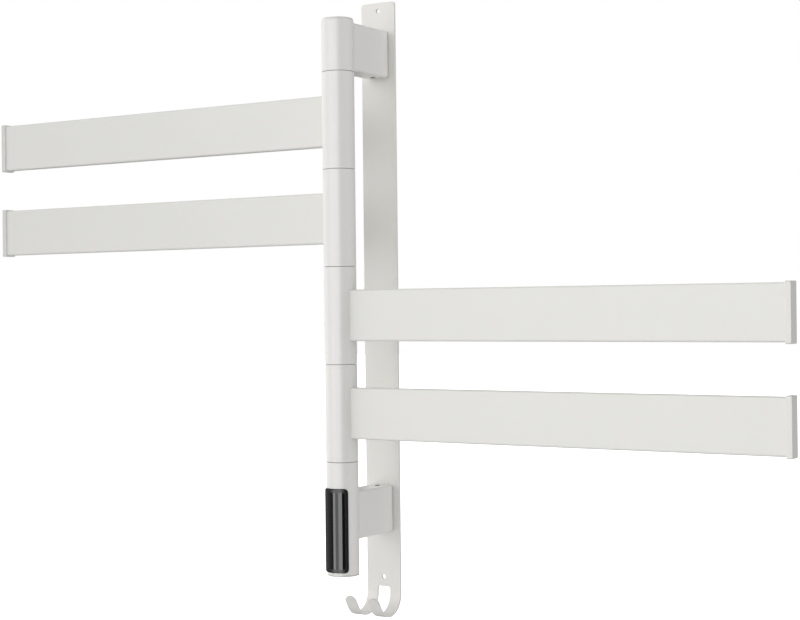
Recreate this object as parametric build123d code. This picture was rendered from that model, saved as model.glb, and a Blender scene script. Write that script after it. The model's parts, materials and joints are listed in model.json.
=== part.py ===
from build123d import *
import math
import os

# Wall-mounted electric towel rail with four swivelling heated bars, in millimetres.
# X runs to the right, -Y into the room and +Z up. The wall is the plane Y = 0, and
# the origin is midway between the two wall-screw holes, on the back of the plate.

os.makedirs("parts", exist_ok=True)

# Wall plate
plate_w = 47.5
plate_t = 3.0
plate_top_z = 355.0
plate_corner_r = 4.0
wall_hole_r = 2.75
wall_hole_pitch = 690.0

# Robe hooks, bent up from the foot of the wall plate
hook_slot_w = 18.0
hook_slot_top_z = -356.7
hook_slot_r = 3.0
hook_bend_z = -363.3
hook_bend_r = 24.0
hook_bend_deg = 150.0
hook_tongue = 15.0
hook_tip_flat = 0.35

# Pole
pole_r = 19.0
axis_off = 90.0
upper_joint_z = 260.5
head_len = 62.5
base_len = 133.5
arm_count = 4
arm_pitch = 114.3
joint_gap = 0.5
edge_break = 0.4

# Sleeves that turn on the core tube
sleeve_wall = 2.5
tube_r = 11.0
tube_wall = 2.0
tube_nose = 3.0
key_w = 3.0
key_depth = 0.8
bush_len = 10.0
bush_recess = 1.5
running_gap = 0.05
face_gap = 0.15
side_gap = 0.3
stop_deg = 180.0

# Stop washers, one under each sleeve, with a lug that runs in the bush above
lug_half_deg = 8.0
lug_play_deg = 1.5
lug_inner_r = 12.8
lug_outer_r = 15.2
lug_h = 2.0

# Preload above the top sleeve
spring_t = 1.6
thrust_washer_t = 1.2

# Webs that clamp the core tube, and their round nuts
web_t = 13.0
nut_r = 14.5
nut_t = 6.0
nut_slot_w = 4.0
nut_slot_depth = 2.0

# Bars
bar_h = 60.0
bar_t = 14.0
bar_wall = 1.5
bar_edge_r = 2.5
bar_inner_r = 1.0
bar_end = 539.5
element_r = 4.0
element_gap = 0.1
element_start = 24.0
element_len = 440.0
channel_wall = 1.6

# End caps of the bars
cap_len = 6.5
cap_proud = 1.5
cap_corner_r = 1.5
cap_edge_r = 0.5
cap_plug_len = 10.0

# Root plugs, which hold a bar to its sleeve
root_plug_len = 38.0
plug_gap = 0.15
m5_r = 2.5
m5_head_r = 4.4
m5_head_h = 2.4
m5_socket_r = 1.5
m5_socket_depth = 1.4
root_screw_len = 14.0
thread_gap = 0.05
clearance_hole = 0.25

# Arms between the pole and the plate
bracket_w = 29.5
bracket_h = 56.25
bracket_wall = 3.0
bracket_edge_r = 2.75
bracket_root_r = 4.0
bracket_back_gap = 0.8
upper_bracket_lift = 2.3
lower_bracket_drop = 35.8
upper_cavity_end = 24.0

# Mount blocks on the plate, inside the arms
block_depth = 25.0
block_gap = 0.1
block_screw_pitch = 30.0
block_screw_len = 16.0
countersink_depth = 2.4
countersink_r = 4.9
set_screw_r = 3.0
set_screw_off = 12.0
set_screw_proud = 0.4
set_screw_socket_r = 1.7
set_screw_socket_depth = 2.0

# Caps of the pole
head_bevel_h = 2.2
head_bevel_in = 0.5
cap_seam_h = 0.4
cap_seam_in = 1.5
top_cap_show = 0.9
bottom_cap_show = 1.2
cap_disc_in = 0.9
cap_bevel = 0.3
cap_spigot = 6.0
cap_floor = 2.0

# Cable inlet in the bottom cap
inlet_bore_r = 3.5
grommet_wall = 2.0
grommet_flange_t = 1.2
grommet_flange_in = 1.6
inlet_recess = 0.3

# Control housing
housing_wall = 3.0
lens_drop = 30.6
lens_foot = 5.0
lens_half_deg = 53.5
lens_proud = 1.5
lens_t = 2.5
lens_corner_r = 4.5
lens_bevel = 0.5
lens_fit_gap = 0.15
lens_border_w = 4.3
lens_window_depth = 0.3
lens_window_corner_r = 2.5
gasket_t = 0.4
gasket_w = 3.0

# Electronics inside the control housing
carrier_front_y = -6.6
carrier_t = 3.0
carrier_gap = 0.2
carrier_inset = 3.95
carrier_window_w = 18.0
carrier_window_h = 46.0
board_w = 24.0
board_t = 1.6
board_margin = 2.0
chip_w = 7.0
chip_t = 1.4
chip_pitch = 14.0
board_screw_r = 1.2
board_screw_head_r = 2.0
board_screw_head_h = 1.0
board_screw_len = 4.0
board_screw_x = 9.5
display_w = 15.0
display_h = 34.0
display_t = 6.0
display_lift = 22.0
display_window_h = 8.5
display_window_pitch = 10.2
display_window_depth = 3.0
touch_r = 3.0
touch_wall = 0.8
touch_pitch = 12.0
touch_count = 3
touch_drop = 6.0
touch_gap = 0.2
terminal_w = 18.0
terminal_d = 13.0
terminal_h = 12.0
terminal_lift = 25.5
terminal_pitch = 5.5
terminal_hole_r = 1.6
terminal_screw_r = 1.3
terminal_screw_depth = 1.5
power_w = 22.0
power_h = 40.0
power_len = 36.0
power_start = 22.0
power_fin_t = 2.0
power_fin_h = 4.0
power_fin_count = 5
passage_w = 17.0
passage_h = 45.0

# Wiring inside the pole
lead_r = 1.2
signal_r = 0.6
earth_r = 0.7
lead_bend_r = 3.5
trunk_y = 5.2
trunk_step = 3.0
trunk_turn_drop = 1.4
branch_rise = 10.0
supply_y = 3.0
supply_x = 3.0
supply_turn_drop = 14.4
signal_x = 6.9
signal_rise = 4.6
earth_x = -6.8
earth_y = 12.0
earth_rise = 19.6
earth_tail = 8.0
earth_rise_run = 16.0
earth_screw_r = 2.0
earth_head_r = 3.2
earth_head_h = 2.0
earth_screw_len = 8.0
earth_bend_r = 5.0

# Turning contacts on the pole's axis, one for each bar
contact_r = 3.0
contact_face = 9.0
plug_top = 5.0
pin_r = 1.0
pin_len = 4.3
socket_spare = 0.4
socket_len = 9.0
spacer_t = 6.0
spacer_gap = 0.1
spacer_drop = 1.0
notch_front = 3.4
notch_half_w = 6.4
window_half_h = 3.0
window_back = 2.4
lead_hole_r = 3.0

over = 2.0
bottom_z = upper_joint_z - arm_count * arm_pitch
pole_top = upper_joint_z + head_len
pole_bottom = bottom_z - base_len
sleeve_len = arm_pitch - joint_gap
sleeve_inner_r = pole_r - sleeve_wall
housing_inner_r = pole_r - housing_wall
tube_inner_r = tube_r - tube_wall
head_bottom = upper_joint_z + joint_gap / 2
base_top = bottom_z - joint_gap / 2
upper_bracket_z = (upper_joint_z + upper_bracket_lift, upper_joint_z + upper_bracket_lift + bracket_h)
lower_bracket_z = (bottom_z - lower_bracket_drop - bracket_h, bottom_z - lower_bracket_drop)
lens_z = (pole_bottom + lens_foot, bottom_z - lens_drop)
lower_bracket_mid_z = sum(lower_bracket_z) / 2
trunk_turn_z = lower_bracket_mid_z - trunk_turn_drop
supply_turn_z = lower_bracket_mid_z - supply_turn_drop
signal_z = lower_bracket_mid_z + signal_rise
earth_z = lower_bracket_mid_z + earth_rise
hook_w = (plate_w - hook_slot_w) / 2
preload_depth = bush_recess + thrust_washer_t + spring_t + face_gap
head_web_low = head_bottom + preload_depth - bush_recess
head_web_top = head_web_low + web_t
base_web_top = base_top - bush_recess
base_web_low = base_web_top - web_t
tube_z = (base_web_low - nut_t - tube_nose, head_web_top + nut_t + tube_nose)
chamber_low = element_r + element_gap + channel_wall
chamber_high = bar_h / 2 - bar_wall
chamber_mid = (chamber_low + chamber_high) / 2
chamber_size = chamber_high - chamber_low
chamber_t = bar_t - 2 * bar_wall


def arm_mid_z(number):
    """Height of the middle of one sleeve, counted from the top."""
    return upper_joint_z - (number - 0.5) * arm_pitch


def block(x, y, z):
    """Box given by its low and high ends along each axis."""
    low, high = zip(sorted(x), sorted(y), sorted(z))
    size = [b - a for a, b in zip(low, high)]
    middle = [(a + b) / 2 for a, b in zip(low, high)]
    return Pos(*middle) * Box(*size)


def centred(x, width):
    return (x - width / 2, x + width / 2)


def drum(radius, z):
    """Upright cylinder on the Z axis between two heights."""
    return Pos(0, 0, (z[0] + z[1]) / 2) * Cylinder(radius, z[1] - z[0])


def ring(outer, inner, z):
    return drum(outer, z) - drum(inner, (z[0] - over, z[1] + over))


def sector(radius, z, middle_deg, half_deg):
    """Upright slice of a cylinder, centred on one direction."""
    about_axis = (Align.NONE, Align.NONE, Align.CENTER)
    wedge = Cylinder(radius, z[1] - z[0], arc_size=2 * half_deg, align=about_axis)
    return Pos(0, 0, (z[0] + z[1]) / 2) * Rot(0, 0, middle_deg - half_deg) * wedge


def peg(radius, x, y=0.0, z=0.0):
    """Level cylinder along X between two ends."""
    return Pos((x[0] + x[1]) / 2, y, z) * Rot(0, 90, 0) * Cylinder(radius, x[1] - x[0])


def stud(radius, y, x=0.0, z=0.0):
    """Level cylinder along Y between two ends."""
    return Pos(x, (y[0] + y[1]) / 2, z) * Rot(90, 0, 0) * Cylinder(radius, y[1] - y[0])


def wire(points, radius, bend_r):
    """Round wire along straight runs joined by tangent arcs."""
    path = Polyline(*points) if len(points) == 2 else FilletPolyline(*points, radius=bend_r)
    section = path.location_at(0) * Circle(radius)
    return sweep(section, path)


def curved_panel(inner, outer, z, half_deg, corner_r):
    """Piece of the pole's skin, facing the room, with rounded corners."""
    tall = (z[0] - over, z[1] + over)
    thick = sector(outer, z, -90, half_deg) - drum(inner / 2, tall)
    straight = thick.edges().filter_by(GeomType.LINE)
    corners = [edge for edge in straight if abs(edge.tangent_at(0).Z) < 0.5]
    return fillet(corners, corner_r) - drum(inner, tall)


def on_pole(shape):
    return Pos(0, -axis_off, 0) * shape


def hook_profile():
    """Side view of a hook, as a face in the YZ plane."""
    centre_y = -(plate_t / 2 + hook_bend_r)
    outer_r = hook_bend_r + plate_t / 2
    inner_r = hook_bend_r - plate_t / 2
    root_z = hook_slot_top_z - hook_slot_r - edge_break

    def at(radius, degrees, along=0.0):
        spoke = Vector(0, 1, 0).rotate(Axis.X, -degrees)
        forward = Vector(0, 0, -1).rotate(Axis.X, -degrees)
        return Vector(0, centre_y, hook_bend_z) + spoke * radius + forward * along

    outline = [
        Line(Vector(0, 0, root_z), at(outer_r, 0)),
        ThreePointArc(at(outer_r, 0), at(outer_r, hook_bend_deg / 2), at(outer_r, hook_bend_deg)),
        Line(at(outer_r, hook_bend_deg), at(outer_r, hook_bend_deg, hook_tongue)),
        Line(at(outer_r, hook_bend_deg, hook_tongue), at(inner_r, hook_bend_deg, hook_tongue)),
        Line(at(inner_r, hook_bend_deg, hook_tongue), at(inner_r, hook_bend_deg)),
        ThreePointArc(at(inner_r, hook_bend_deg), at(inner_r, hook_bend_deg / 2), at(inner_r, 0)),
        Line(at(inner_r, 0), Vector(0, -plate_t, root_z)),
        Line(Vector(0, -plate_t, root_z), Vector(0, 0, root_z)),
    ]
    return Face(Wire(outline))


def hook(side):
    """One hook of the pair, on the left (-1) or right (+1)."""
    middle = side * (hook_slot_w + hook_w) / 2
    body = Pos(middle - hook_w / 2, 0, 0) * extrude(hook_profile(), amount=hook_w, dir=(1, 0, 0))
    tip_y = body.bounding_box().min.Y
    across = body.edges().filter_by(GeomType.LINE)
    short = [edge for edge in across if edge.length < plate_t + edge_break]
    tip = [edge for edge in short if edge.center().Y < tip_y + plate_t]
    return fillet(tip, (hook_w - hook_tip_flat) / 2)


def block_screw_heights():
    """Heights of the screws that hold the two mount blocks."""
    middles = [sum(z) / 2 for z in (upper_bracket_z, lower_bracket_z)]
    return [z + side * block_screw_pitch / 2 for z in middles for side in (-1, 1)]


def back_plate():
    plate_z = (hook_slot_top_z - hook_slot_r - 2 * edge_break, plate_top_z)
    plate = block(centred(0, plate_w), (-plate_t, 0), plate_z)
    top_corners = [edge for edge in plate.edges().filter_by(Axis.Y) if edge.center().Z > 0]
    plate = fillet(top_corners, plate_corner_r)
    plate = plate + hook(-1) + hook(1)
    slot_z = (plate_top_z - 2 * wall_hole_pitch, hook_slot_top_z)
    slot = block(centred(0, hook_slot_w), (-plate_t - over, over), slot_z)
    slot_corners = [edge for edge in slot.edges().filter_by(Axis.Y) if edge.center().Z > hook_bend_z]
    plate = plate - fillet(slot_corners, hook_slot_r)
    for side in (-1, 1):
        plate = plate - stud(wall_hole_r, (-plate_t - over, over), z=side * wall_hole_pitch / 2)
    for z in block_screw_heights():
        plate = plate - stud(m5_r + clearance_hole, (-plate_t - over, over), z=z)
        plate = plate - countersink(z, countersink_r)
    return plate


def countersink(z, radius):
    """Cone that opens towards the wall."""
    cone = Cone(m5_r, radius, countersink_depth)
    return Pos(0, -countersink_depth / 2, z) * Rot(-90, 0, 0) * cone


def mount_block(bracket_z):
    """Aluminium block, screwed to the plate, that one arm slides over."""
    inset = bracket_wall + block_gap
    z = (bracket_z[0] + inset, bracket_z[1] - inset)
    body = block(centred(0, bracket_w - 2 * inset), (-plate_t - block_depth, -plate_t), z)
    for screw_z in block_screw_heights():
        hole = stud(m5_r + thread_gap, (-plate_t - block_screw_len, -plate_t + over), z=screw_z)
        body = body - hole
    face = -plate_t - block_depth
    earth_hole = stud(earth_screw_r + thread_gap, (face - over, face + earth_screw_len), earth_x, earth_z)
    return body - earth_hole


def mount_block_screws():
    screws = []
    for z in block_screw_heights():
        shank = stud(m5_r, (-block_screw_len, -countersink_depth), z=z)
        head = countersink(z, countersink_r - clearance_hole)
        socket = stud(m5_socket_r, (-m5_socket_depth, over), z=z)
        screws.append(shank + head - socket)
    return screws


def bracket_arm(bracket_z):
    """Rounded bar from the plate to the pole's axis."""
    arm = block(centred(0, bracket_w), (-axis_off, -plate_t - bracket_back_gap), bracket_z)
    arm = fillet(arm.edges().filter_by(Axis.Y), bracket_edge_r)
    back = arm.faces().sort_by(Axis.Y)[-1]
    return chamfer(back.edges(), edge_break)


def blended(pole_piece, arm):
    """Join an arm to a pole piece with a fillet where they meet."""
    joined = pole_piece + arm
    reach = pole_r + bracket_root_r
    near = [edge for edge in joined.edges() if edge.center().Y < -axis_off + reach]
    seam = [edge for edge in near if abs(edge.center().X) < bracket_w / 2 + edge_break]
    inside = [edge for edge in seam if arm_seam(edge)]
    return fillet(inside, bracket_root_r)


def arm_seam(edge):
    """True for an edge that lies on the pole's skin and on the arm."""
    middle = edge @ 0.5
    radius = math.hypot(middle.X, middle.Y + axis_off)
    return abs(radius - pole_r) < running_gap and middle.Y > -axis_off + pole_r / 3


def arm_cavity(bracket_z, depth_y):
    """Room inside an arm, from the plate to one distance from the pole's axis."""
    z = (bracket_z[0] + bracket_wall, bracket_z[1] - bracket_wall)
    return block(centred(0, bracket_w - 2 * bracket_wall), (-axis_off + depth_y, over), z)


def set_screw_places():
    """Middle of each set screw's outer face, and which way it points out."""
    y = -plate_t - set_screw_off
    return [(y, upper_bracket_z[0], -1), (y, lower_bracket_z[1], 1)]


def set_screw(y, face_z, out, radius, length):
    """Upright cylinder that starts a little proud of an arm's face."""
    ends = sorted((face_z + out * set_screw_proud, face_z - out * length))
    return Pos(0, y, 0) * drum(radius, ends)


def arm_set_screws():
    screws = []
    for y, face_z, out in set_screw_places():
        screw = set_screw(y, face_z, out, set_screw_r, bracket_wall + block_gap)
        socket_depth = set_screw_socket_depth
        ends = sorted((face_z + out * over, face_z + out * (set_screw_proud - socket_depth)))
        screws.append(screw - Pos(0, y, 0) * drum(set_screw_socket_r, ends))
    return screws


def set_screw_hole(place):
    y, face_z, out = place
    ends = sorted((face_z + out * over, face_z - out * (bracket_wall + over)))
    return Pos(0, y, 0) * drum(set_screw_r + thread_gap, ends)


def upper_arm():
    """Head of the pole and the upper arm, in one casting."""
    rim = pole_top - top_cap_show - cap_seam_h
    head = on_pole(drum(pole_r, (head_bottom, rim)))
    top_edge = head.edges().filter_by(GeomType.CIRCLE).sort_by(Axis.Z)[-1]
    head = chamfer(top_edge, head_bevel_h, head_bevel_in)
    head = blended(head, bracket_arm(upper_bracket_z))
    head = head - on_pole(drum(housing_inner_r, (head_web_top, pole_top + over)))
    head = head - on_pole(drum(tube_r + running_gap, (head_bottom - over, pole_top)))
    head = head - on_pole(drum(sleeve_inner_r, (head_bottom - over, head_web_low)))
    head = head - arm_cavity(upper_bracket_z, upper_cavity_end)
    return head - set_screw_hole(set_screw_places()[0])


def lower_arm_housing():
    """Control housing at the foot of the pole and the lower arm, in one casting."""
    rim = pole_bottom + bottom_cap_show + cap_seam_h
    base = on_pole(drum(pole_r, (rim, base_top)))
    foot = base.edges().filter_by(GeomType.CIRCLE).sort_by(Axis.Z)[0]
    base = chamfer(foot, edge_break)
    base = blended(base, bracket_arm(lower_bracket_z))
    base = base - on_pole(drum(housing_inner_r, (pole_bottom - over, base_web_low)))
    base = base - on_pole(drum(tube_r + running_gap, (base_web_low - over, base_top + over)))
    base = base - on_pole(drum(sleeve_inner_r, (base_web_top, base_top + over)))
    base = base - arm_cavity(lower_bracket_z, pole_r + bracket_wall)
    passage_y = (-axis_off, -axis_off + pole_r + bracket_wall + over)
    base = base - block(centred(0, passage_w), passage_y, centred(lower_bracket_mid_z, passage_h))
    recess_z = (lens_z[0] - lens_fit_gap, lens_z[1] + lens_fit_gap)
    recess_half_deg = lens_half_deg + gap_deg()
    recess_corner_r = lens_corner_r + lens_fit_gap
    recess = curved_panel(lens_floor_r(), pole_r + over, recess_z, recess_half_deg, recess_corner_r)
    window_z = (lens_z[0] + gasket_w, lens_z[1] - gasket_w)
    window = curved_panel(tube_r, pole_r + over, window_z, lens_half_deg - gasket_deg(), gasket_w)
    base = base - on_pole(recess) - on_pole(window)
    return base - set_screw_hole(set_screw_places()[1])


def lens_inner_r():
    return pole_r + lens_proud - lens_t


def lens_floor_r():
    """Radius of the ledge that the gasket lies on."""
    return lens_inner_r() - gasket_t


def gap_deg():
    return math.degrees(lens_fit_gap / pole_r)


def gasket_deg():
    return math.degrees(gasket_w / pole_r)


def control_lens():
    """Curved touch panel, whose glossy window lies a little below its border."""
    front_r = pole_r + lens_proud
    lens = curved_panel(lens_inner_r(), front_r, lens_z, lens_half_deg, lens_corner_r)
    skin = lens.faces().sort_by(SortBy.AREA)[-1]
    lens = chamfer(skin.edges(), lens_bevel)
    window_z = (lens_z[0] + lens_border_w, lens_z[1] - lens_border_w)
    window_half_deg = lens_half_deg - math.degrees(lens_border_w / front_r)
    floor_r = front_r - lens_window_depth
    window = curved_panel(floor_r, front_r + over, window_z, window_half_deg, lens_window_corner_r)
    return on_pole(lens - window)


def lens_gasket():
    frame = curved_panel(lens_floor_r(), lens_inner_r(), lens_z, lens_half_deg, lens_corner_r)
    hole_z = (lens_z[0] + gasket_w, lens_z[1] - gasket_w)
    hole = curved_panel(tube_r, pole_r, hole_z, lens_half_deg - gasket_deg(), gasket_w)
    return on_pole(frame - hole)


def top_cap():
    seam_z = pole_top - top_cap_show
    disc = drum(pole_r - cap_disc_in, (seam_z, pole_top))
    disc = chamfer(disc.edges().filter_by(GeomType.CIRCLE).sort_by(Axis.Z)[-1], cap_bevel)
    neck = drum(pole_r - cap_seam_in, (seam_z - cap_seam_h, seam_z))
    spigot_z = (seam_z - cap_seam_h - cap_spigot, seam_z)
    spigot = ring(housing_inner_r - running_gap, housing_inner_r - housing_wall, spigot_z)
    return on_pole(disc + neck + spigot)


def bottom_cap():
    seam_z = pole_bottom + bottom_cap_show
    disc = drum(pole_r - cap_bevel, (pole_bottom, seam_z))
    disc = chamfer(disc.edges().filter_by(GeomType.CIRCLE).sort_by(Axis.Z)[0], cap_bevel)
    neck = drum(pole_r - cap_seam_in, (seam_z, seam_z + cap_seam_h))
    spigot_z = (seam_z, seam_z + cap_seam_h + cap_spigot)
    spigot = ring(housing_inner_r - running_gap, housing_inner_r - housing_wall, spigot_z)
    floor = drum(housing_inner_r - running_gap, (seam_z, bottom_cap_floor()))
    hole = drum(inlet_bore_r + grommet_wall, (pole_bottom - over, bottom_cap_floor() + over))
    return on_pole(disc + neck + spigot + floor - hole)


def bottom_cap_floor():
    """Height of the inside face of the bottom cap."""
    return pole_bottom + bottom_cap_show + cap_seam_h + cap_floor


def cable_inlet_grommet():
    """Rubber grommet in the bottom cap, with a flange on the inside."""
    floor = bottom_cap_floor()
    outer = inlet_bore_r + grommet_wall
    barrel = drum(outer - running_gap, (pole_bottom + inlet_recess, floor + grommet_flange_t))
    flange = drum(outer + grommet_flange_in, (floor, floor + grommet_flange_t))
    bore = drum(inlet_bore_r, (pole_bottom - over, floor + grommet_flange_t + over))
    return on_pole(barrel + flange - bore)


def core_tube():
    """Fixed tube that the sleeves turn on, with a window for each bar's lead."""
    tube = ring(tube_r, tube_inner_r, tube_z)
    for number in range(1, arm_count + 1):
        middle = arm_mid_z(number)
        reach = tube_r + over
        window = block((-reach, reach), (-reach, window_back), centred(middle, 2 * window_half_h))
        tube = tube - window
    keyway_z = (base_top - over, head_bottom + over)
    keyway = block(centred(0, key_w), (tube_r - key_depth, tube_r + over), keyway_z)
    return on_pole(tube - keyway)


def core_tube_nuts():
    nuts = []
    for z in ((head_web_top, head_web_top + nut_t), (base_web_low - nut_t, base_web_low)):
        nut = ring(nut_r, tube_r + thread_gap, z)
        for turn in range(4):
            notch = block((nut_r - nut_slot_depth, nut_r + over), centred(0, nut_slot_w), z)
            nut = nut - Rot(0, 0, 90 * turn) * notch
        nuts.append(on_pole(nut))
    return nuts


def stop_washer(number):
    """Fixed washer under one sleeve, keyed to the core tube."""
    middle = upper_joint_z - number * arm_pitch
    half = joint_gap / 2 + bush_recess - face_gap
    z = (middle - half, middle + half)
    washer = ring(sleeve_inner_r - side_gap, tube_r + running_gap, z)
    key = block(centred(0, key_w - 2 * running_gap), (tube_r - key_depth + running_gap, tube_r + key_depth), z)
    lug_z = (z[1], z[1] + lug_h)
    lug_hollow = drum(lug_inner_r, (lug_z[0] - over, lug_z[1] + over))
    lug = sector(lug_outer_r, lug_z, 90, lug_half_deg) - lug_hollow
    return on_pole(washer + key + lug)


def thrust_washer():
    low = head_bottom - joint_gap - bush_recess + face_gap
    return on_pole(ring(sleeve_inner_r - side_gap, tube_r + running_gap, (low, low + thrust_washer_t)))


def wave_spring():
    """Spring washer that presses the stack of sleeves together."""
    low = head_bottom - joint_gap - bush_recess + face_gap + thrust_washer_t
    return on_pole(ring(lug_outer_r, lug_inner_r, (low, head_web_low)))


def sleeve():
    """Turning sleeve of one bar, about the middle of the sleeve."""
    half = sleeve_len / 2
    body = drum(pole_r, (-half, half))
    body = chamfer(body.edges().filter_by(GeomType.CIRCLE), edge_break)
    body = body - drum(sleeve_inner_r, (-half - over, half + over))
    for side in (-1, 1):
        z = side * chamber_mid
        body = body - peg(m5_r + clearance_hole, (0, pole_r + over), z=z)
        body = body - peg(m5_head_r + clearance_hole, (0, sleeve_inner_r), z=z)
    return body - peg(lead_hole_r, (0, pole_r + over))


def sleeve_bushes():
    """Plain bearings in the two ends of a sleeve."""
    half = sleeve_len / 2
    low_z = (-half + bush_recess, -half + bush_recess + bush_len)
    high_z = (half - bush_recess - bush_len, half - bush_recess)
    low, high = [ring(sleeve_inner_r, tube_r + running_gap, z) for z in (low_z, high_z)]
    groove_z = (low_z[0] - over, low_z[0] + lug_h - face_gap + side_gap)
    half_deg = stop_deg / 2 + lug_half_deg + lug_play_deg
    groove = sector(lug_outer_r + side_gap, groove_z, 180, half_deg)
    groove = groove - drum(lug_inner_r - side_gap, (groove_z[0] - over, groove_z[1] + over))
    return [low - groove, high]


def bar_section():
    outer = RectangleRounded(bar_t, bar_h, bar_edge_r)
    inner = RectangleRounded(chamber_t, bar_h - 2 * bar_wall, bar_inner_r)
    channel = Circle(element_r + element_gap + channel_wall)
    return outer - (inner - channel) - Circle(element_r + element_gap)


def along_bar(section, x):
    """Extrude a section drawn across the bar, from one distance to another."""
    plane = Plane(origin=(x[0], 0, 0), x_dir=(0, 1, 0), z_dir=(1, 0, 0))
    return extrude(plane * section, amount=x[1] - x[0])


def bar():
    body = along_bar(bar_section(), (pole_r / 2, bar_end))
    return body - drum(pole_r + running_gap, centred(0, bar_h + 2 * over))


def chamber_blocks(x, gap):
    """A block in each of the bar's two chambers."""
    size = chamber_size - 2 * gap
    blocks = []
    for side in (-1, 1):
        section = RectangleRounded(chamber_t - 2 * gap, size, bar_inner_r)
        section = section - Pos(0, -side * chamber_mid) * Circle(chamber_low + gap)
        blocks.append(Pos(0, 0, side * chamber_mid) * along_bar(section, x))
    return blocks


def root_plugs():
    plugs = []
    for side, plug in zip((-1, 1), chamber_blocks((pole_r / 2, pole_r + root_plug_len), plug_gap)):
        plug = plug - drum(pole_r + running_gap, centred(0, bar_h + 2 * over))
        hole = peg(m5_r + thread_gap, (0, sleeve_inner_r + root_screw_len + over), z=side * chamber_mid)
        plugs.append(plug - hole)
    return plugs


def root_screws():
    """Screws from inside the sleeve into the root plugs."""
    screws = []
    for side in (-1, 1):
        z = side * chamber_mid
        head = peg(m5_head_r, (sleeve_inner_r - m5_head_h, sleeve_inner_r), z=z)
        shank = peg(m5_r, (sleeve_inner_r, sleeve_inner_r + root_screw_len), z=z)
        socket_end = sleeve_inner_r - m5_head_h + m5_socket_depth
        socket = peg(m5_socket_r, (sleeve_inner_r - m5_head_h - over, socket_end), z=z)
        screws.append(head + shank - socket)
    return screws


def end_cap():
    """Cap of a bar, a little larger than the bar all round, with plugs that fill the bar's chambers."""
    section = RectangleRounded(bar_t + 2 * cap_proud, bar_h + 2 * cap_proud, cap_corner_r)
    cap = along_bar(section, (bar_end, bar_end + cap_len))
    rims = [face for face in cap.faces().filter_by(Axis.X)]
    cap = fillet([edge for face in rims for edge in face.edges()], cap_edge_r)
    for plug in chamber_blocks((bar_end - cap_plug_len, bar_end + cap_len / 2), plug_gap):
        cap = cap + plug
    return cap


def heater():
    """Rod element in the bar's channel."""
    return peg(element_r, (element_start, element_start + element_len))


def heater_lead():
    """Lead from the element to the turning half of the contact on the axis."""
    points = [(element_start, 0, 0), (0, 0, 0), (0, 0, -plug_top)]
    lead = wire(points, lead_r, lead_bend_r)
    body = drum(contact_r, (-contact_face + side_gap, -plug_top))
    pin = drum(pin_r, (-contact_face - pin_len, -contact_face + side_gap))
    return lead + body + pin


def contact_socket(number):
    """Fixed half of one contact, on the pole's axis."""
    top = arm_mid_z(number) - contact_face
    body = drum(contact_r, (top - socket_len, top))
    return body - drum(pin_r + running_gap, (top - pin_len - socket_spare, top + over))


def contact_spacer(number):
    """Disc inside the core tube that holds a contact and lets the other leads by."""
    top = arm_mid_z(number) - contact_face - spacer_drop
    z = (top - spacer_t, top)
    disc = ring(tube_inner_r - spacer_gap, contact_r + running_gap, z)
    notch = block((-notch_half_w, notch_half_w), (notch_front, tube_r), (z[0] - over, z[1] + over))
    return disc - notch


def contact_spacers():
    return [on_pole(contact_spacer(number)) for number in range(1, arm_count + 1)]


def swivel_contacts():
    return [on_pole(contact_socket(number)) for number in range(1, arm_count + 1)]


def trunk_x(number):
    """The lowest bars' leads run in the middle, so that none crosses another."""
    order = arm_count - number
    side = 1 if order % 2 == 0 else -1
    return side * trunk_step * (0.5 + order // 2)


def trunk_lead(number):
    """Lead from the power unit up the core tube to one contact."""
    x = trunk_x(number)
    end_z = arm_mid_z(number) - contact_face - socket_len
    leave_z = end_z - lead_bend_r - branch_rise
    points = [
        (x, power_start, trunk_turn_z),
        (x, trunk_y, trunk_turn_z),
        (x, trunk_y, leave_z),
        (0, 0, leave_z + branch_rise),
        (0, 0, end_z),
    ]
    return wire(points, lead_r, lead_bend_r / 2)


def supply_lead(side):
    x = side * supply_x
    start_z = terminal_z()[1]
    points = [(x, supply_y, start_z), (x, supply_y, supply_turn_z), (x, power_start, supply_turn_z)]
    return wire(points, lead_r, lead_bend_r)


def signal_lead():
    start_y = carrier_front_y
    return wire([(signal_x, start_y, signal_z), (signal_x, power_start, signal_z)], signal_r, lead_bend_r)


def earth_lead():
    """Earth wire from the terminal block to the screw in the lower mount block."""
    block_face = axis_off - plate_t - block_depth
    end_y = block_face - earth_head_h
    start = terminal_y()[1] - earth_r - terminal_screw_depth
    points = [
        (earth_x, start, terminal_z()[1]),
        (earth_x, start, terminal_z()[1] + earth_tail),
        (earth_x, earth_y, terminal_z()[1] + earth_tail + earth_rise_run),
        (earth_x, earth_y, earth_z),
        (earth_x, end_y, earth_z),
    ]
    return wire(points, earth_r, earth_bend_r)


def wiring_harness():
    leads = [trunk_lead(number) for number in range(1, arm_count + 1)]
    leads = leads + [supply_lead(-1), supply_lead(1), signal_lead(), earth_lead()]
    return [on_pole(lead) for lead in leads]


def earth_screw():
    face = -plate_t - block_depth
    head = stud(earth_head_r, (face - earth_head_h, face), earth_x, earth_z)
    shank = stud(earth_screw_r, (face, face + earth_screw_len), earth_x, earth_z)
    return head + shank


def carrier_z():
    return (lens_z[0] + carrier_inset, lens_z[1] - carrier_inset)


def board_z():
    low, high = carrier_z()
    return (low + board_margin, high - board_margin)


def board_screw_places():
    low, high = board_z()
    inset = board_screw_head_r + board_margin
    return [(x, z) for x in (-board_screw_x, board_screw_x) for z in (low + inset, high - inset)]


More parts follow.
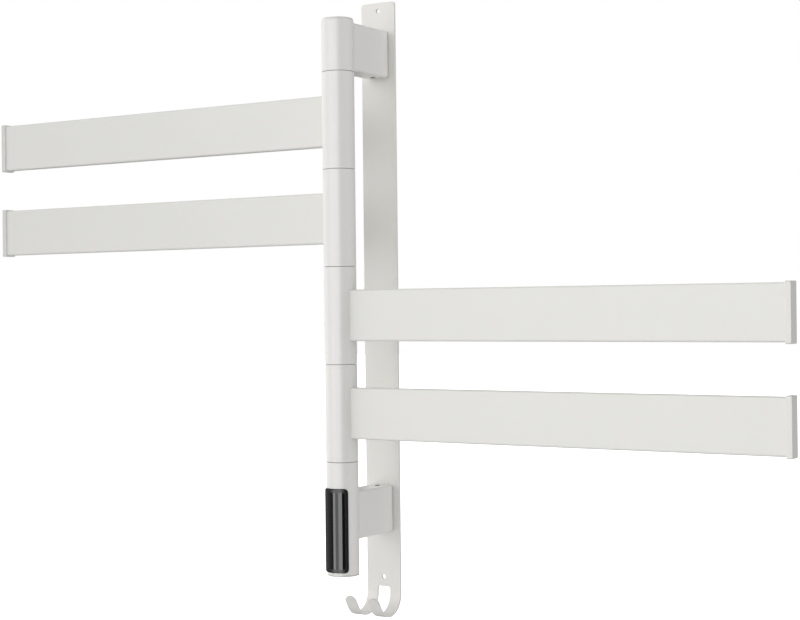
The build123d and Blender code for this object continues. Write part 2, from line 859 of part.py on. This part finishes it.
def board_carrier():
    """Plastic frame across the control housing."""
    y = (carrier_front_y, carrier_front_y + carrier_t)
    disc = drum(housing_inner_r - carrier_gap, carrier_z())
    slab = disc & block((-pole_r, pole_r), y, carrier_z())
    middle = sum(carrier_z()) / 2
    window_z = centred(middle, carrier_window_h)
    window = block(centred(0, carrier_window_w), (y[0] - over, y[1] + over), window_z)
    slab = slab - window
    for x, z in board_screw_places():
        slab = slab - stud(board_screw_r + thread_gap, (y[0] - over, y[1] + over), x, z)
    return on_pole(slab)


def control_board():
    """Circuit board with its chips, on the front of the carrier."""
    y = (carrier_front_y - board_t, carrier_front_y)
    board = block(centred(0, board_w), y, board_z())
    middle = sum(board_z()) / 2
    for step in (-1, 0, 1):
        chip_z = centred(middle + step * chip_pitch, chip_w)
        board = board + block(centred(0, chip_w), (y[1] - board_t / 2, y[1] + chip_t), chip_z)
    for x, z in board_screw_places():
        board = board - stud(board_screw_r + clearance_hole, (y[0] - over, y[1] + over), x, z)
    return on_pole(board)


def board_screws():
    screws = []
    face = carrier_front_y - board_t
    for x, z in board_screw_places():
        head = stud(board_screw_head_r, (face - board_screw_head_h, face), x, z)
        screws.append(on_pole(head + stud(board_screw_r, (face, face + board_screw_len), x, z)))
    return screws


def display_module():
    """Light box behind the lens, with three windows for its figures."""
    face = carrier_front_y - board_t
    middle = sum(lens_z) / 2 + display_lift
    body = block(centred(0, display_w), (face - display_t, face), centred(middle, display_h))
    pocket_y = (face - display_t - over, face - display_t + display_window_depth)
    for step in (-1, 0, 1):
        pocket_z = centred(middle + step * display_window_pitch, display_window_h)
        body = body - block(centred(0, display_w / 2), pocket_y, pocket_z)
    return on_pole(body)


def touch_springs():
    """Sprung contacts that press on the back of the lens."""
    springs = []
    face = carrier_front_y - board_t
    for step in range(touch_count):
        z = sum(lens_z) / 2 - touch_drop - step * touch_pitch
        tip = -((lens_inner_r() ** 2 - touch_r ** 2) ** 0.5) + touch_gap
        hollow = stud(touch_r - touch_wall, (tip - over, face - touch_wall), 0, z)
        springs.append(on_pole(stud(touch_r, (tip, face), 0, z) - hollow))
    return springs


def terminal_z():
    low = pole_bottom + terminal_lift
    return (low, low + terminal_h)


def terminal_y():
    back = carrier_front_y + carrier_t
    return (back, back + terminal_d)


def terminal_block():
    """Three-way screw terminal on the back of the carrier."""
    y = terminal_y()
    z = terminal_z()
    body = block(centred(0, terminal_w), y, z)
    for way in (-1, 0, 1):
        x = way * terminal_pitch
        hole = Pos(x, sum(y) / 2, 0) * drum(terminal_hole_r, (z[0] - over, z[0] + terminal_h / 2))
        screw = stud(terminal_screw_r, (y[1] - terminal_screw_depth, y[1] + over), x, sum(z) / 2)
        body = body - hole - screw
    return on_pole(body)


def power_module():
    """Relay and power supply in a finned case, on the floor of the lower arm."""
    floor = lower_bracket_z[0] + bracket_wall
    y = (power_start, power_start + power_len)
    case = block(centred(0, power_w), y, (floor, floor + power_h - power_fin_h))
    for index in range(power_fin_count):
        start = y[0] + index * (power_len - power_fin_t) / (power_fin_count - 1)
        fin_z = (floor + power_h - power_fin_h - over, floor + power_h)
        case = case + block(centred(0, power_w), (start, start + power_fin_t), fin_z)
    return on_pole(case)


def arm_direction(number):
    """The upper half of the bars point left, the lower half right."""
    return 180 if number <= arm_count // 2 else 0


def save(node, shape):
    solids = shape if isinstance(shape, list) else [shape]
    pieces = [solid for piece in solids for solid in piece.solids()]
    export_step(pieces[0] if len(pieces) == 1 else Compound(children=pieces), f"parts/{node}.step")


fixed_pieces = {
    "back_plate": back_plate(),
    "upper_mount_block": mount_block(upper_bracket_z),
    "lower_mount_block": mount_block(lower_bracket_z),
    "mount_block_screws": mount_block_screws(),
    "upper_arm": upper_arm(),
    "lower_arm_housing": lower_arm_housing(),
    "arm_set_screws": arm_set_screws(),
    "top_cap": top_cap(),
    "bottom_cap": bottom_cap(),
    "cable_inlet_grommet": cable_inlet_grommet(),
    "core_tube": core_tube(),
    "core_tube_nuts": core_tube_nuts(),
    "thrust_washer": thrust_washer(),
    "wave_spring": wave_spring(),
    "control_lens": control_lens(),
    "lens_gasket": lens_gasket(),
    "board_carrier": board_carrier(),
    "control_board": control_board(),
    "board_screws": board_screws(),
    "display_module": display_module(),
    "touch_springs": touch_springs(),
    "terminal_block": terminal_block(),
    "power_module": power_module(),
    "earth_screw": earth_screw(),
    "swivel_contacts": swivel_contacts(),
    "contact_spacers": contact_spacers(),
    "wiring_harness": wiring_harness(),
    "stop_washers": [stop_washer(number) for number in range(1, arm_count + 1)],
}

bar_pieces = {
    "sleeve": sleeve(),
    "bushes": sleeve_bushes(),
    "profile": bar(),
    "root_plugs": root_plugs(),
    "root_screws": root_screws(),
    "end_cap": end_cap(),
    "element": heater(),
    "lead": heater_lead(),
}

for node, shape in fixed_pieces.items():
    save(node, shape)

for number in range(1, arm_count + 1):
    place = Pos(0, -axis_off, arm_mid_z(number)) * Rot(0, 0, arm_direction(number))
    for piece, shape in bar_pieces.items():
        solids = shape if isinstance(shape, list) else [shape]
        save(f"bar_{number}_{piece}", [place * solid for solid in solids])
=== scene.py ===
import json
import math

import bmesh
import bpy
from mathutils import Matrix, Vector


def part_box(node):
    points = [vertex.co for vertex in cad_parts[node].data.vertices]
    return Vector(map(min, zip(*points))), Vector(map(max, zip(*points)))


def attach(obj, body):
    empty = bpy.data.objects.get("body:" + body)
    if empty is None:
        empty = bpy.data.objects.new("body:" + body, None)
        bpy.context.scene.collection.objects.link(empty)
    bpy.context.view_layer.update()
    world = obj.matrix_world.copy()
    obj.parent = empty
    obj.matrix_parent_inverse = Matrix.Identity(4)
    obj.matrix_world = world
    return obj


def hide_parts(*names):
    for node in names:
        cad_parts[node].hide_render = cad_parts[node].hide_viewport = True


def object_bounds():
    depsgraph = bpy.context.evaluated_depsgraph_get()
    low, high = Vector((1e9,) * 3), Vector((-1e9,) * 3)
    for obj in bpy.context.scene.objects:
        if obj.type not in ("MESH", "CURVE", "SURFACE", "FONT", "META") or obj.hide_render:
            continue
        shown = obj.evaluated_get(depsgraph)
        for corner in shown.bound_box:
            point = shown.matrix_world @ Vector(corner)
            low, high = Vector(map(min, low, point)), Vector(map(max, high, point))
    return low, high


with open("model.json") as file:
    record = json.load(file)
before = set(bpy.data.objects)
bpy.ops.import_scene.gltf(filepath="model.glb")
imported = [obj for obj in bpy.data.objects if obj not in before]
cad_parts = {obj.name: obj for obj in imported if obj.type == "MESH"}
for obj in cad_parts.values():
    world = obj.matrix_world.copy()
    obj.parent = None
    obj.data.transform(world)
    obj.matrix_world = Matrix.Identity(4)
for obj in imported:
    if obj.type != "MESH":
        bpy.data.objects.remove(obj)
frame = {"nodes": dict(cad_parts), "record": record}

# Looks of a wall-mounted electric towel rail with four swivelling bars, in metres

cad_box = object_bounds()

# Camera, at the photograph's viewing angle
camera_place = (1.07225, -1.65598, -0.01493)
camera_turn_deg = 32.29
camera_tilt_deg = -0.14
camera_roll_deg = 0.62
sensor_width = 36.0
lens_length = 72.63

# Place of the pole's axis, and how far the panel's window lies behind its border
pole_axis_y = -0.09
panel_step = 0.0003

# Studio
floor_drop = 0.75
floor_size = 60.0
fill_in_gloss = 0.15
fill_lobes = (
    ((-1.0, 0.0, 0.0), 1.9),
    ((-0.9, -0.3, 0.3), 1.05),
    ((1.0, 0.0, 0.0), 1.08),
    ((0.8, 0.5, 0.3), 0.32),
    ((0.0, -0.8, 0.6), 0.25),
    ((0.0, -0.3, -1.0), 0.5),
)
key_place = (0.26, -1.65, 0.40)
key_target = (0.0, 0.0, 0.0)
key_size = 1.1
key_power = 4.2
sheen_distance = 2.2
sheen_height = 3.4
sheen_panels = ((-33.0, -16.5, 5.2), (-16.5, 4.5, 2.3), (4.5, 29.0, 5.2))

# Springs that the CAD has as plain solids
touch_spring_count = 3
touch_spring_turns = 6.0
touch_wire_d = 0.0005
wave_ring_width = 0.0024
wave_ring_t = 0.0003
wave_ring_waves = 3
steps_per_turn = 24
wire_sides = 10
crease_deg = 40.0

# Finishes, as linear red, green and blue
bar_white = (0.780, 0.775, 0.740)
pole_white = (0.767, 0.757, 0.737)
plate_white = (0.770, 0.760, 0.725)
# The end caps' white is darker than the other whites. This is painted shade for the shade that falls on
# the caps' outer faces
cap_white_painted_shade = (0.695, 0.685, 0.660)
panel_black = (0.0035, 0.0035, 0.0040)
rubber_black = (0.018, 0.018, 0.019)
case_black = (0.030, 0.030, 0.033)
zinc_grey = (0.560, 0.565, 0.580)
sheath_grey = (0.330, 0.315, 0.300)
machined_grey = (0.640, 0.645, 0.655)
brass_yellow = (0.620, 0.420, 0.150)
acetal_white = (0.720, 0.710, 0.670)
mask_green = (0.012, 0.110, 0.045)
blackened_grey = (0.120, 0.117, 0.112)
silicone_cream = (0.560, 0.540, 0.480)
floor_white = (0.92, 0.92, 0.92)

# Patterns of the finishes: sizes of their spots and depths of their relief, in metres
coat_cloud = 0.09
coat_speck = 0.0011
coat_peel = 0.0016
coat_relief = 0.00003
panel_smear = 0.02
panel_grain = 0.0006
panel_relief = 0.00002
mould_cloud = 0.02
mould_relief = 0.00004
metal_marks = 0.0012
metal_tarnish = 0.012
metal_relief = 0.00003
board_cloud = 0.004
board_relief = 0.00004
floor_dust = 0.4

# Tracks of the circuit board, in the Brick Texture node's own units
track_scale = 220.0
track_gap = 0.03

# Roughness of the finishes that isn't given with their colour
panel_border_rough = 0.34
panel_window_rough = 0.06
board_rough = 0.28
floor_rough = 0.9

# Share of the panel's step over which its satin border turns into the gloss window
panel_window_edge = 0.25


class Field:
    """A socket's value, on which Python's own operators work."""

    def __init__(self, nodes, socket):
        self.nodes = nodes
        self.socket = socket

    def join(self, operation, first, second):
        return self.nodes.make("ShaderNodeMath", {"operation": operation}, {0: first, 1: second})["Value"]

    def __add__(self, other):
        return self.join("ADD", self, other)

    def __sub__(self, other):
        return self.join("SUBTRACT", self, other)

    def __rsub__(self, other):
        return self.join("SUBTRACT", other, self)

    def __mul__(self, other):
        return self.join("MULTIPLY", self, other)

    def __pow__(self, other):
        return self.join("POWER", self, other)

    def at_least(self, other):
        return self.join("MAXIMUM", self, other)

    def at_most(self, other):
        return self.join("MINIMUM", self, other)

    def sine(self):
        return self.join("SINE", self, 0.0)

    def turn_from(self, across):
        """Angle about the Z axis of a place whose Y is this and whose X is given."""
        return self.join("ARCTAN2", self, across)

    __radd__ = __add__
    __rmul__ = __mul__


class Nodes:
    """A node tree, filled by one method."""

    def __init__(self, tree):
        self.tree = tree

    def make(self, kind, settings=None, inputs=None):
        """Add a node: its settings first, then the values or links of its sockets."""
        node = self.tree.nodes.new(kind)
        for key, value in (settings or {}).items():
            setattr(node, key, value)
        for key, value in (inputs or {}).items():
            self.feed(node.inputs[key], value)
        outputs = [socket for socket in node.outputs if socket.enabled]
        return {socket.name: Field(self, socket) for socket in outputs}

    def feed(self, socket, value):
        if isinstance(value, Field):
            self.tree.links.new(value.socket, socket)
        else:
            socket.default_value = value


class Finish(Nodes):
    """One material, built from a few nodes."""

    def __init__(self, name, roughness, metallic=0.0):
        self.material = bpy.data.materials.new(name)
        self.material.use_nodes = True
        super().__init__(self.material.node_tree)
        self.shader = self.tree.nodes["Principled BSDF"]
        self.shader.inputs["Roughness"].default_value = roughness
        self.shader.inputs["Metallic"].default_value = metallic
        self.place = self.make("ShaderNodeTexCoord")["Object"]

    def noise(self, size, detail=2.0, stretch=(1.0, 1.0, 1.0)):
        """Noise from 0 to 1, with spots of about one size in metres."""
        scale = tuple(share / size for share in stretch)
        place = self.make("ShaderNodeMapping", None, {"Vector": self.place, "Scale": scale})["Vector"]
        inputs = {"Vector": place, "Scale": 1.0, "Detail": detail}
        return self.make("ShaderNodeTexNoise", None, inputs)["Fac"]

    def blend(self, factor, first, second):
        """Colour between two colours."""
        inputs = {0: factor, 6: (*first, 1.0), 7: (*second, 1.0)}
        return self.make("ShaderNodeMix", {"data_type": "RGBA"}, inputs)["Result"]

    def colour(self, value):
        self.feed(self.shader.inputs["Base Color"], value)

    def rough(self, value):
        self.feed(self.shader.inputs["Roughness"], value)

    def bump(self, height, depth, strength=1.0):
        """Surface relief, with its depth in metres."""
        inputs = {"Height": height, "Distance": depth, "Strength": strength}
        normal = self.make("ShaderNodeBump", None, inputs)["Normal"]
        self.feed(self.shader.inputs["Normal"], normal)

    def constant(self, **values):
        """Values that are the same all over the surface."""
        for name, value in values.items():
            self.shader.inputs[name.replace("_", " ").title().replace("Ior", "IOR")].default_value = value


def shade(colour, share):
    """The same colour, lighter or darker."""
    return tuple(channel * share for channel in colour)


def powder_coat(name, colour, roughness=0.40, gloss=0.5):
    """Satin powder coat: fine orange peel, faint mottling and small differences in sheen."""
    finish = Finish(name, roughness)
    cloud = finish.noise(coat_cloud, 3.0)
    speck = finish.noise(coat_speck, 2.0)
    finish.colour(finish.blend(cloud * 0.7 + speck * 0.3, shade(colour, 0.975), shade(colour, 1.02)))
    peel = finish.noise(coat_peel, 3.0)
    finish.rough(roughness - 0.04 + peel * 0.05 + cloud * 0.04)
    finish.bump(peel * 0.8 + speck * 0.2, coat_relief, 0.5)
    finish.constant(specular_ior_level=gloss)
    return finish.material


def gloss_panel(name):
    """Black panel: a gloss window with faint wiping marks inside a fine satin border."""
    finish = Finish(name, panel_window_rough)
    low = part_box("control_lens")[0]
    front_r = pole_axis_y - low[1]
    away = finish.make("ShaderNodeSeparateXYZ", None, {"Vector": finish.place})
    radius = (away["X"] ** 2.0 + (away["Y"] - pole_axis_y) ** 2.0) ** 0.5
    sunk = (front_r - radius) * (1.0 / panel_step) - 0.5
    window = sunk.at_least(0.0).at_most(panel_window_edge) * (1.0 / panel_window_edge)
    smear = finish.noise(panel_smear, 4.0, (1.0, 1.0, 0.35))
    grain = finish.noise(panel_grain, 2.0)
    finish.colour(finish.blend(smear, panel_black, shade(panel_black, 1.5)))
    border_rough = panel_border_rough + grain * 0.08
    window_rough = panel_window_rough + (smear ** 3.0) * 0.08
    finish.rough(border_rough * (1.0 - window) + window_rough * window)
    finish.bump(grain * (1.0 - window), panel_relief, 0.3)
    finish.constant(ior=1.5)
    return finish.material


def moulded(name, colour, roughness=0.5, grain=0.0007):
    """Moulded plastic or rubber with a fine spark-eroded grain."""
    finish = Finish(name, roughness)
    grit = finish.noise(grain, 2.0)
    cloud = finish.noise(mould_cloud, 2.0)
    finish.colour(finish.blend(cloud, shade(colour, 0.9), shade(colour, 1.1)))
    finish.rough(roughness - 0.06 + grit * 0.12)
    finish.bump(grit, mould_relief, 0.5)
    return finish.material


def worked_metal(name, colour, roughness, stretch):
    """Bare metal with drawn or turned marks along one direction."""
    finish = Finish(name, roughness, 1.0)
    marks = finish.noise(metal_marks, 4.0, stretch)
    tarnish = finish.noise(metal_tarnish, 3.0)
    finish.colour(finish.blend(tarnish * 0.6 + marks * 0.4, shade(colour, 0.80), shade(colour, 1.08)))
    finish.rough(roughness - 0.08 + marks * 0.16 + tarnish * 0.05)
    finish.bump(marks, metal_relief, 0.6)
    return finish.material


def board_mask(name):
    """Green solder mask with the tracks showing through as a relief."""
    finish = Finish(name, board_rough)
    tracks = finish.make("ShaderNodeTexBrick", {"offset": 0.3}, {
        "Vector": finish.place,
        "Scale": track_scale,
        "Mortar Size": track_gap,
    })["Fac"]
    cloud = finish.noise(board_cloud, 2.0)
    finish.colour(finish.blend(tracks * 0.6 + cloud * 0.3, mask_green, shade(mask_green, 2.2)))
    finish.rough(board_rough + cloud * 0.15)
    finish.bump(tracks, board_relief, 0.6)
    return finish.material


# Nodes whose finish isn't that of their slot
node_slots = {"arm_set_screws": "black_steel"}

finishes = {
    "bar_coat": powder_coat("bar_powder_coat", bar_white, 0.43, 0.28),
    "pole_coat": powder_coat("pole_powder_coat", pole_white),
    "plate_coat": powder_coat("plate_powder_coat", plate_white, 0.45),
    # The caps' finish takes the darker white, which is painted shade on the end caps
    "cap_coat": powder_coat("cap_powder_coat", cap_white_painted_shade, 0.42),
    "lens_black": gloss_panel("panel_gloss_black"),
    "rubber_black": moulded("soft_black_rubber", rubber_black, 0.75, 0.0005),
    "case_plastic": moulded("black_case_plastic", case_black, 0.5),
    "washer_plastic": moulded("natural_acetal", acetal_white, 0.38, 0.0009),
    "lead_sheath": moulded("silicone_lead_sheath", silicone_cream, 0.55, 0.0004),
    "board_green": board_mask("board_solder_mask"),
    "steel": worked_metal("zinc_plated_steel", zinc_grey, 0.34, (1.0, 1.0, 0.08)),
    "black_steel": worked_metal("blackened_steel", blackened_grey, 0.45, (1.0, 1.0, 0.2)),
    "element_steel": worked_metal("element_sheath_steel", sheath_grey, 0.42, (0.05, 1.0, 1.0)),
    "aluminium": worked_metal("machined_aluminium", machined_grey, 0.36, (0.08, 1.0, 1.0)),
    "contact_brass": worked_metal("turned_brass", brass_yellow, 0.28, (1.0, 1.0, 0.15)),
}


def record_slots():
    """Material slot that the record gives each CAD node."""
    return {part["node"]: part["material_slot"] for part in frame["record"]["subparts"]}


def dress_nodes():
    """Give every CAD node the finish of its slot, but for the nodes that have their own."""
    slots = {**record_slots(), **node_slots}
    for name, node in frame["nodes"].items():
        for slot in node.material_slots:
            slot.material = finishes[slots[name]]


def finish_mesh(mesh, finish):
    """Turn a mesh's faces outwards, keep its creases sharp and give it one finish."""
    work = bmesh.new()
    work.from_mesh(mesh)
    bmesh.ops.recalc_face_normals(work, faces=work.faces)
    for face in work.faces:
        face.material_index = 0
    work.to_mesh(mesh)
    work.free()
    mesh.materials.clear()
    mesh.materials.append(finish)
    mesh.set_sharp_from_angle(angle=math.radians(crease_deg))


class Former(Nodes):
    """A Geometry Nodes tree with named sizes, which is made once into a plain mesh."""

    def __init__(self, name, **sizes):
        super().__init__(bpy.data.node_groups.new(name, "GeometryNodeTree"))
        self.name = name
        self.given = {}
        for size, value in sizes.items():
            kind = "NodeSocketInt" if isinstance(value, int) else "NodeSocketFloat"
            socket = self.tree.interface.new_socket(size, in_out="INPUT", socket_type=kind)
            self.given[socket.identifier] = value
        self.tree.interface.new_socket("Geometry", in_out="OUTPUT", socket_type="NodeSocketGeometry")
        self.sizes = self.make("NodeGroupInput")

    def point(self, x=0.0, y=0.0, z=0.0):
        return self.make("ShaderNodeCombineXYZ", None, {"X": x, "Y": y, "Z": z})["Vector"]

    def sweep(self, path, profile):
        inputs = {"Curve": path, "Profile Curve": profile, "Fill Caps": True}
        return self.make("GeometryNodeCurveToMesh", None, inputs)["Mesh"]

    def piece(self, shape, finish):
        """Plain mesh of the shape, smooth, closed and with its faces outwards."""
        whole = self.make("GeometryNodeRealizeInstances", None, {"Geometry": shape})["Geometry"]
        dressed = self.make("GeometryNodeSetMaterial", None, {"Geometry": whole, "Material": finish})
        self.make("NodeGroupOutput", None, {"Geometry": dressed["Geometry"]})
        piece = bpy.data.objects.new(self.name, bpy.data.meshes.new(self.name))
        bpy.context.scene.collection.objects.link(piece)
        modifier = piece.modifiers.new("former", "NODES")
        modifier.node_group = self.tree
        for identifier, value in self.given.items():
            modifier[identifier] = value
        formed = piece.evaluated_get(bpy.context.evaluated_depsgraph_get())
        mesh = bpy.data.meshes.new_from_object(formed)
        piece.modifiers.remove(modifier)
        finish_mesh(mesh, finish)
        piece.data = mesh
        return piece


def stand_for(piece, node, body):
    """Let a piece take a CAD node's place on its body."""
    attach(piece, body)
    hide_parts(node)


def add_touch_springs():
    """Coiled wire behind the panel's three touch fields."""
    low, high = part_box("touch_springs")
    radius = (high[0] - low[0]) / 2
    former = Former(
        "touch_spring_coils",
        coil_radius=radius - touch_wire_d / 2,
        wire_radius=touch_wire_d / 2,
        turns=touch_spring_turns,
        length=high[1] - low[1] - touch_wire_d,
        count=touch_spring_count,
        pitch=(high[2] - low[2] - 2 * radius) / (touch_spring_count - 1),
    )
    size = former.sizes
    coil = former.make("GeometryNodeCurveSpiral", None, {
        "Resolution": steps_per_turn,
        "Rotations": size["turns"],
        "Start Radius": size["coil_radius"],
        "End Radius": size["coil_radius"],
        "Height": size["length"],
    })["Curve"]
    section = {"Resolution": wire_sides, "Radius": size["wire_radius"]}
    wire = former.make("GeometryNodeCurvePrimitiveCircle", None, section)["Curve"]
    places = former.make("GeometryNodeMeshLine", None, {
        "Count": size["count"],
        "Start Location": ((low[0] + high[0]) / 2, low[1] + touch_wire_d / 2, low[2] + radius),
        "Offset": former.point(z=size["pitch"]),
    })["Mesh"]
    row = former.make("GeometryNodeInstanceOnPoints", None, {
        "Points": places,
        "Instance": former.sweep(coil, wire),
        "Rotation": (-math.pi / 2, 0.0, 0.0),
    })["Instances"]
    stand_for(former.piece(row, finishes["contact_brass"]), "touch_springs", "pole_frame")


def add_wave_spring():
    """Waved spring washer that presses the stack of sleeves together."""
    low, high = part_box("wave_spring")
    former = Former(
        "wave_spring_ring",
        ring_radius=(high[0] - low[0]) / 2 - wave_ring_width / 2,
        ring_width=wave_ring_width,
        thickness=wave_ring_t,
        wave_height=(high[2] - low[2] - wave_ring_t) / 2,
        waves=wave_ring_waves,
    )
    size = former.sizes
    around = {"Resolution": 4 * steps_per_turn, "Radius": size["ring_radius"]}
    path = former.make("GeometryNodeCurvePrimitiveCircle", None, around)["Curve"]
    spot = former.make("GeometryNodeInputPosition")["Position"]
    away = former.make("ShaderNodeSeparateXYZ", None, {"Vector": spot})
    rise = (away["Y"].turn_from(away["X"]) * size["waves"]).sine() * size["wave_height"]
    middle = [(a + b) / 2 for a, b in zip(low, high)]
    lifted = {"Geometry": path, "Offset": former.point(z=rise)}
    waved = former.make("GeometryNodeSetPosition", None, lifted)
    level = former.make("GeometryNodeSetCurveNormal", {"mode": "Z_UP"}, {"Curve": waved["Geometry"]})
    strip = {"Width": size["ring_width"], "Height": size["thickness"]}
    section = former.make("GeometryNodeCurvePrimitiveQuadrilateral", None, strip)["Curve"]
    ring = former.sweep(level["Curve"], section)
    moved = {"Geometry": ring, "Translation": middle}
    placed = former.make("GeometryNodeTransform", None, moved)["Geometry"]
    stand_for(former.piece(placed, finishes["steel"]), "wave_spring", "pole_frame")


def camera_axes():
    """Right, up and back directions of the camera."""
    turn, tilt, roll = [math.radians(a) for a in (camera_turn_deg, camera_tilt_deg, camera_roll_deg)]
    forward = Vector((-math.sin(turn) * math.cos(tilt), math.cos(turn) * math.cos(tilt), math.sin(tilt)))
    level = Vector((math.cos(turn), math.sin(turn), 0.0))
    down = forward.cross(level)
    right = level * math.cos(roll) + down * math.sin(roll)
    low = down * math.cos(roll) - level * math.sin(roll)
    return right, -low, -forward


def add_camera():
    data = bpy.data.cameras.new("photo_camera")
    data.sensor_fit = "HORIZONTAL"
    data.sensor_width = sensor_width
    data.lens = lens_length
    camera = bpy.data.objects.new("photo_camera", data)
    bpy.context.scene.collection.objects.link(camera)
    place = Matrix(camera_axes()).transposed().to_4x4()
    place.translation = Vector(camera_place)
    camera.matrix_world = place
    bpy.context.scene.camera = camera


def aimed(place, target):
    """Placement of a light at one point, shining at another."""
    turn = (Vector(target) - Vector(place)).to_track_quat("-Z", "Y")
    return Matrix.Translation(place) @ turn.to_matrix().to_4x4()


def add_panel_light(name, place, target, width, height, power):
    data = bpy.data.lights.new(name, "AREA")
    data.shape = "RECTANGLE"
    data.size = width
    data.size_y = height
    data.energy = power
    light = bpy.data.objects.new(name, data)
    bpy.context.scene.collection.objects.link(light)
    light.matrix_world = aimed(place, target)
    return light


def add_sheen(name, start_deg, end_deg, brightness):
    """Tall panel that only shows as a reflection on glossy surfaces."""
    middle = math.radians((start_deg + end_deg) / 2)
    width = 2 * sheen_distance * math.tan(math.radians(end_deg - start_deg) / 2)
    pole = (0.0, pole_axis_y, 0.0)
    place = (math.sin(middle) * sheen_distance, pole_axis_y - math.cos(middle) * sheen_distance, 0.0)
    power = brightness * math.pi * width * sheen_height
    panel = add_panel_light(name, place, pole, width, sheen_height, power)
    panel.visible_diffuse = False


def add_world():
    """Soft fill from a few broad directions, dimmer in reflections and white for the camera."""
    world = bpy.data.worlds.new("studio_fill")
    bpy.context.scene.world = world
    world.use_nodes = True
    sky = Nodes(world.node_tree)
    way = sky.make("ShaderNodeTexCoord")["Generated"]
    strength = 0.0
    for direction, share in fill_lobes:
        inputs = {0: way, 1: Vector(direction).normalized()}
        facing = sky.make("ShaderNodeVectorMath", {"operation": "DOT_PRODUCT"}, inputs)["Value"]
        strength = facing.at_least(0.0) ** 2.0 * share + strength
    ray = sky.make("ShaderNodeLightPath")
    strength = strength * (1.0 - ray["Is Glossy Ray"] * (1.0 - fill_in_gloss))
    seen = ray["Is Camera Ray"]
    strength = strength * (1.0 - seen) + seen
    fill = sky.tree.nodes["Background"]
    sky.feed(fill.inputs["Strength"], strength)
    sky.feed(fill.inputs["Color"], (1.0, 1.0, 1.0, 1.0))


def add_floor():
    """Plain white floor, well below the rail as it hangs on a wall."""
    height = cad_box[0][2] - floor_drop
    half = floor_size / 2
    mesh = bpy.data.meshes.new("floor")
    corners = [(-half, -half, height), (half, -half, height), (half, half, height), (-half, half, height)]
    mesh.from_pydata(corners, [], [(0, 1, 2, 3)])
    finish = Finish("floor_white", floor_rough)
    dust = finish.noise(floor_dust, 2.0)
    finish.colour(finish.blend(dust, floor_white, shade(floor_white, 1.04)))
    finish.constant(emission_color=(1.0, 1.0, 1.0, 1.0), emission_strength=1.0)
    mesh.materials.append(finish.material)
    floor = bpy.data.objects.new("floor", mesh)
    bpy.context.scene.collection.objects.link(floor)
    floor.visible_diffuse = False
    floor.visible_glossy = False


bpy.context.scene.view_settings.view_transform = "Standard"
dress_nodes()
add_camera()
add_world()
key = add_panel_light("key_light", key_place, key_target, key_size, key_size, key_power)
key.visible_glossy = False
for number, (start, end, brightness) in enumerate(sheen_panels, 1):
    add_sheen(f"sheen_panel_{number}", start, end, brightness)
add_floor()
add_touch_springs()
add_wave_spring()
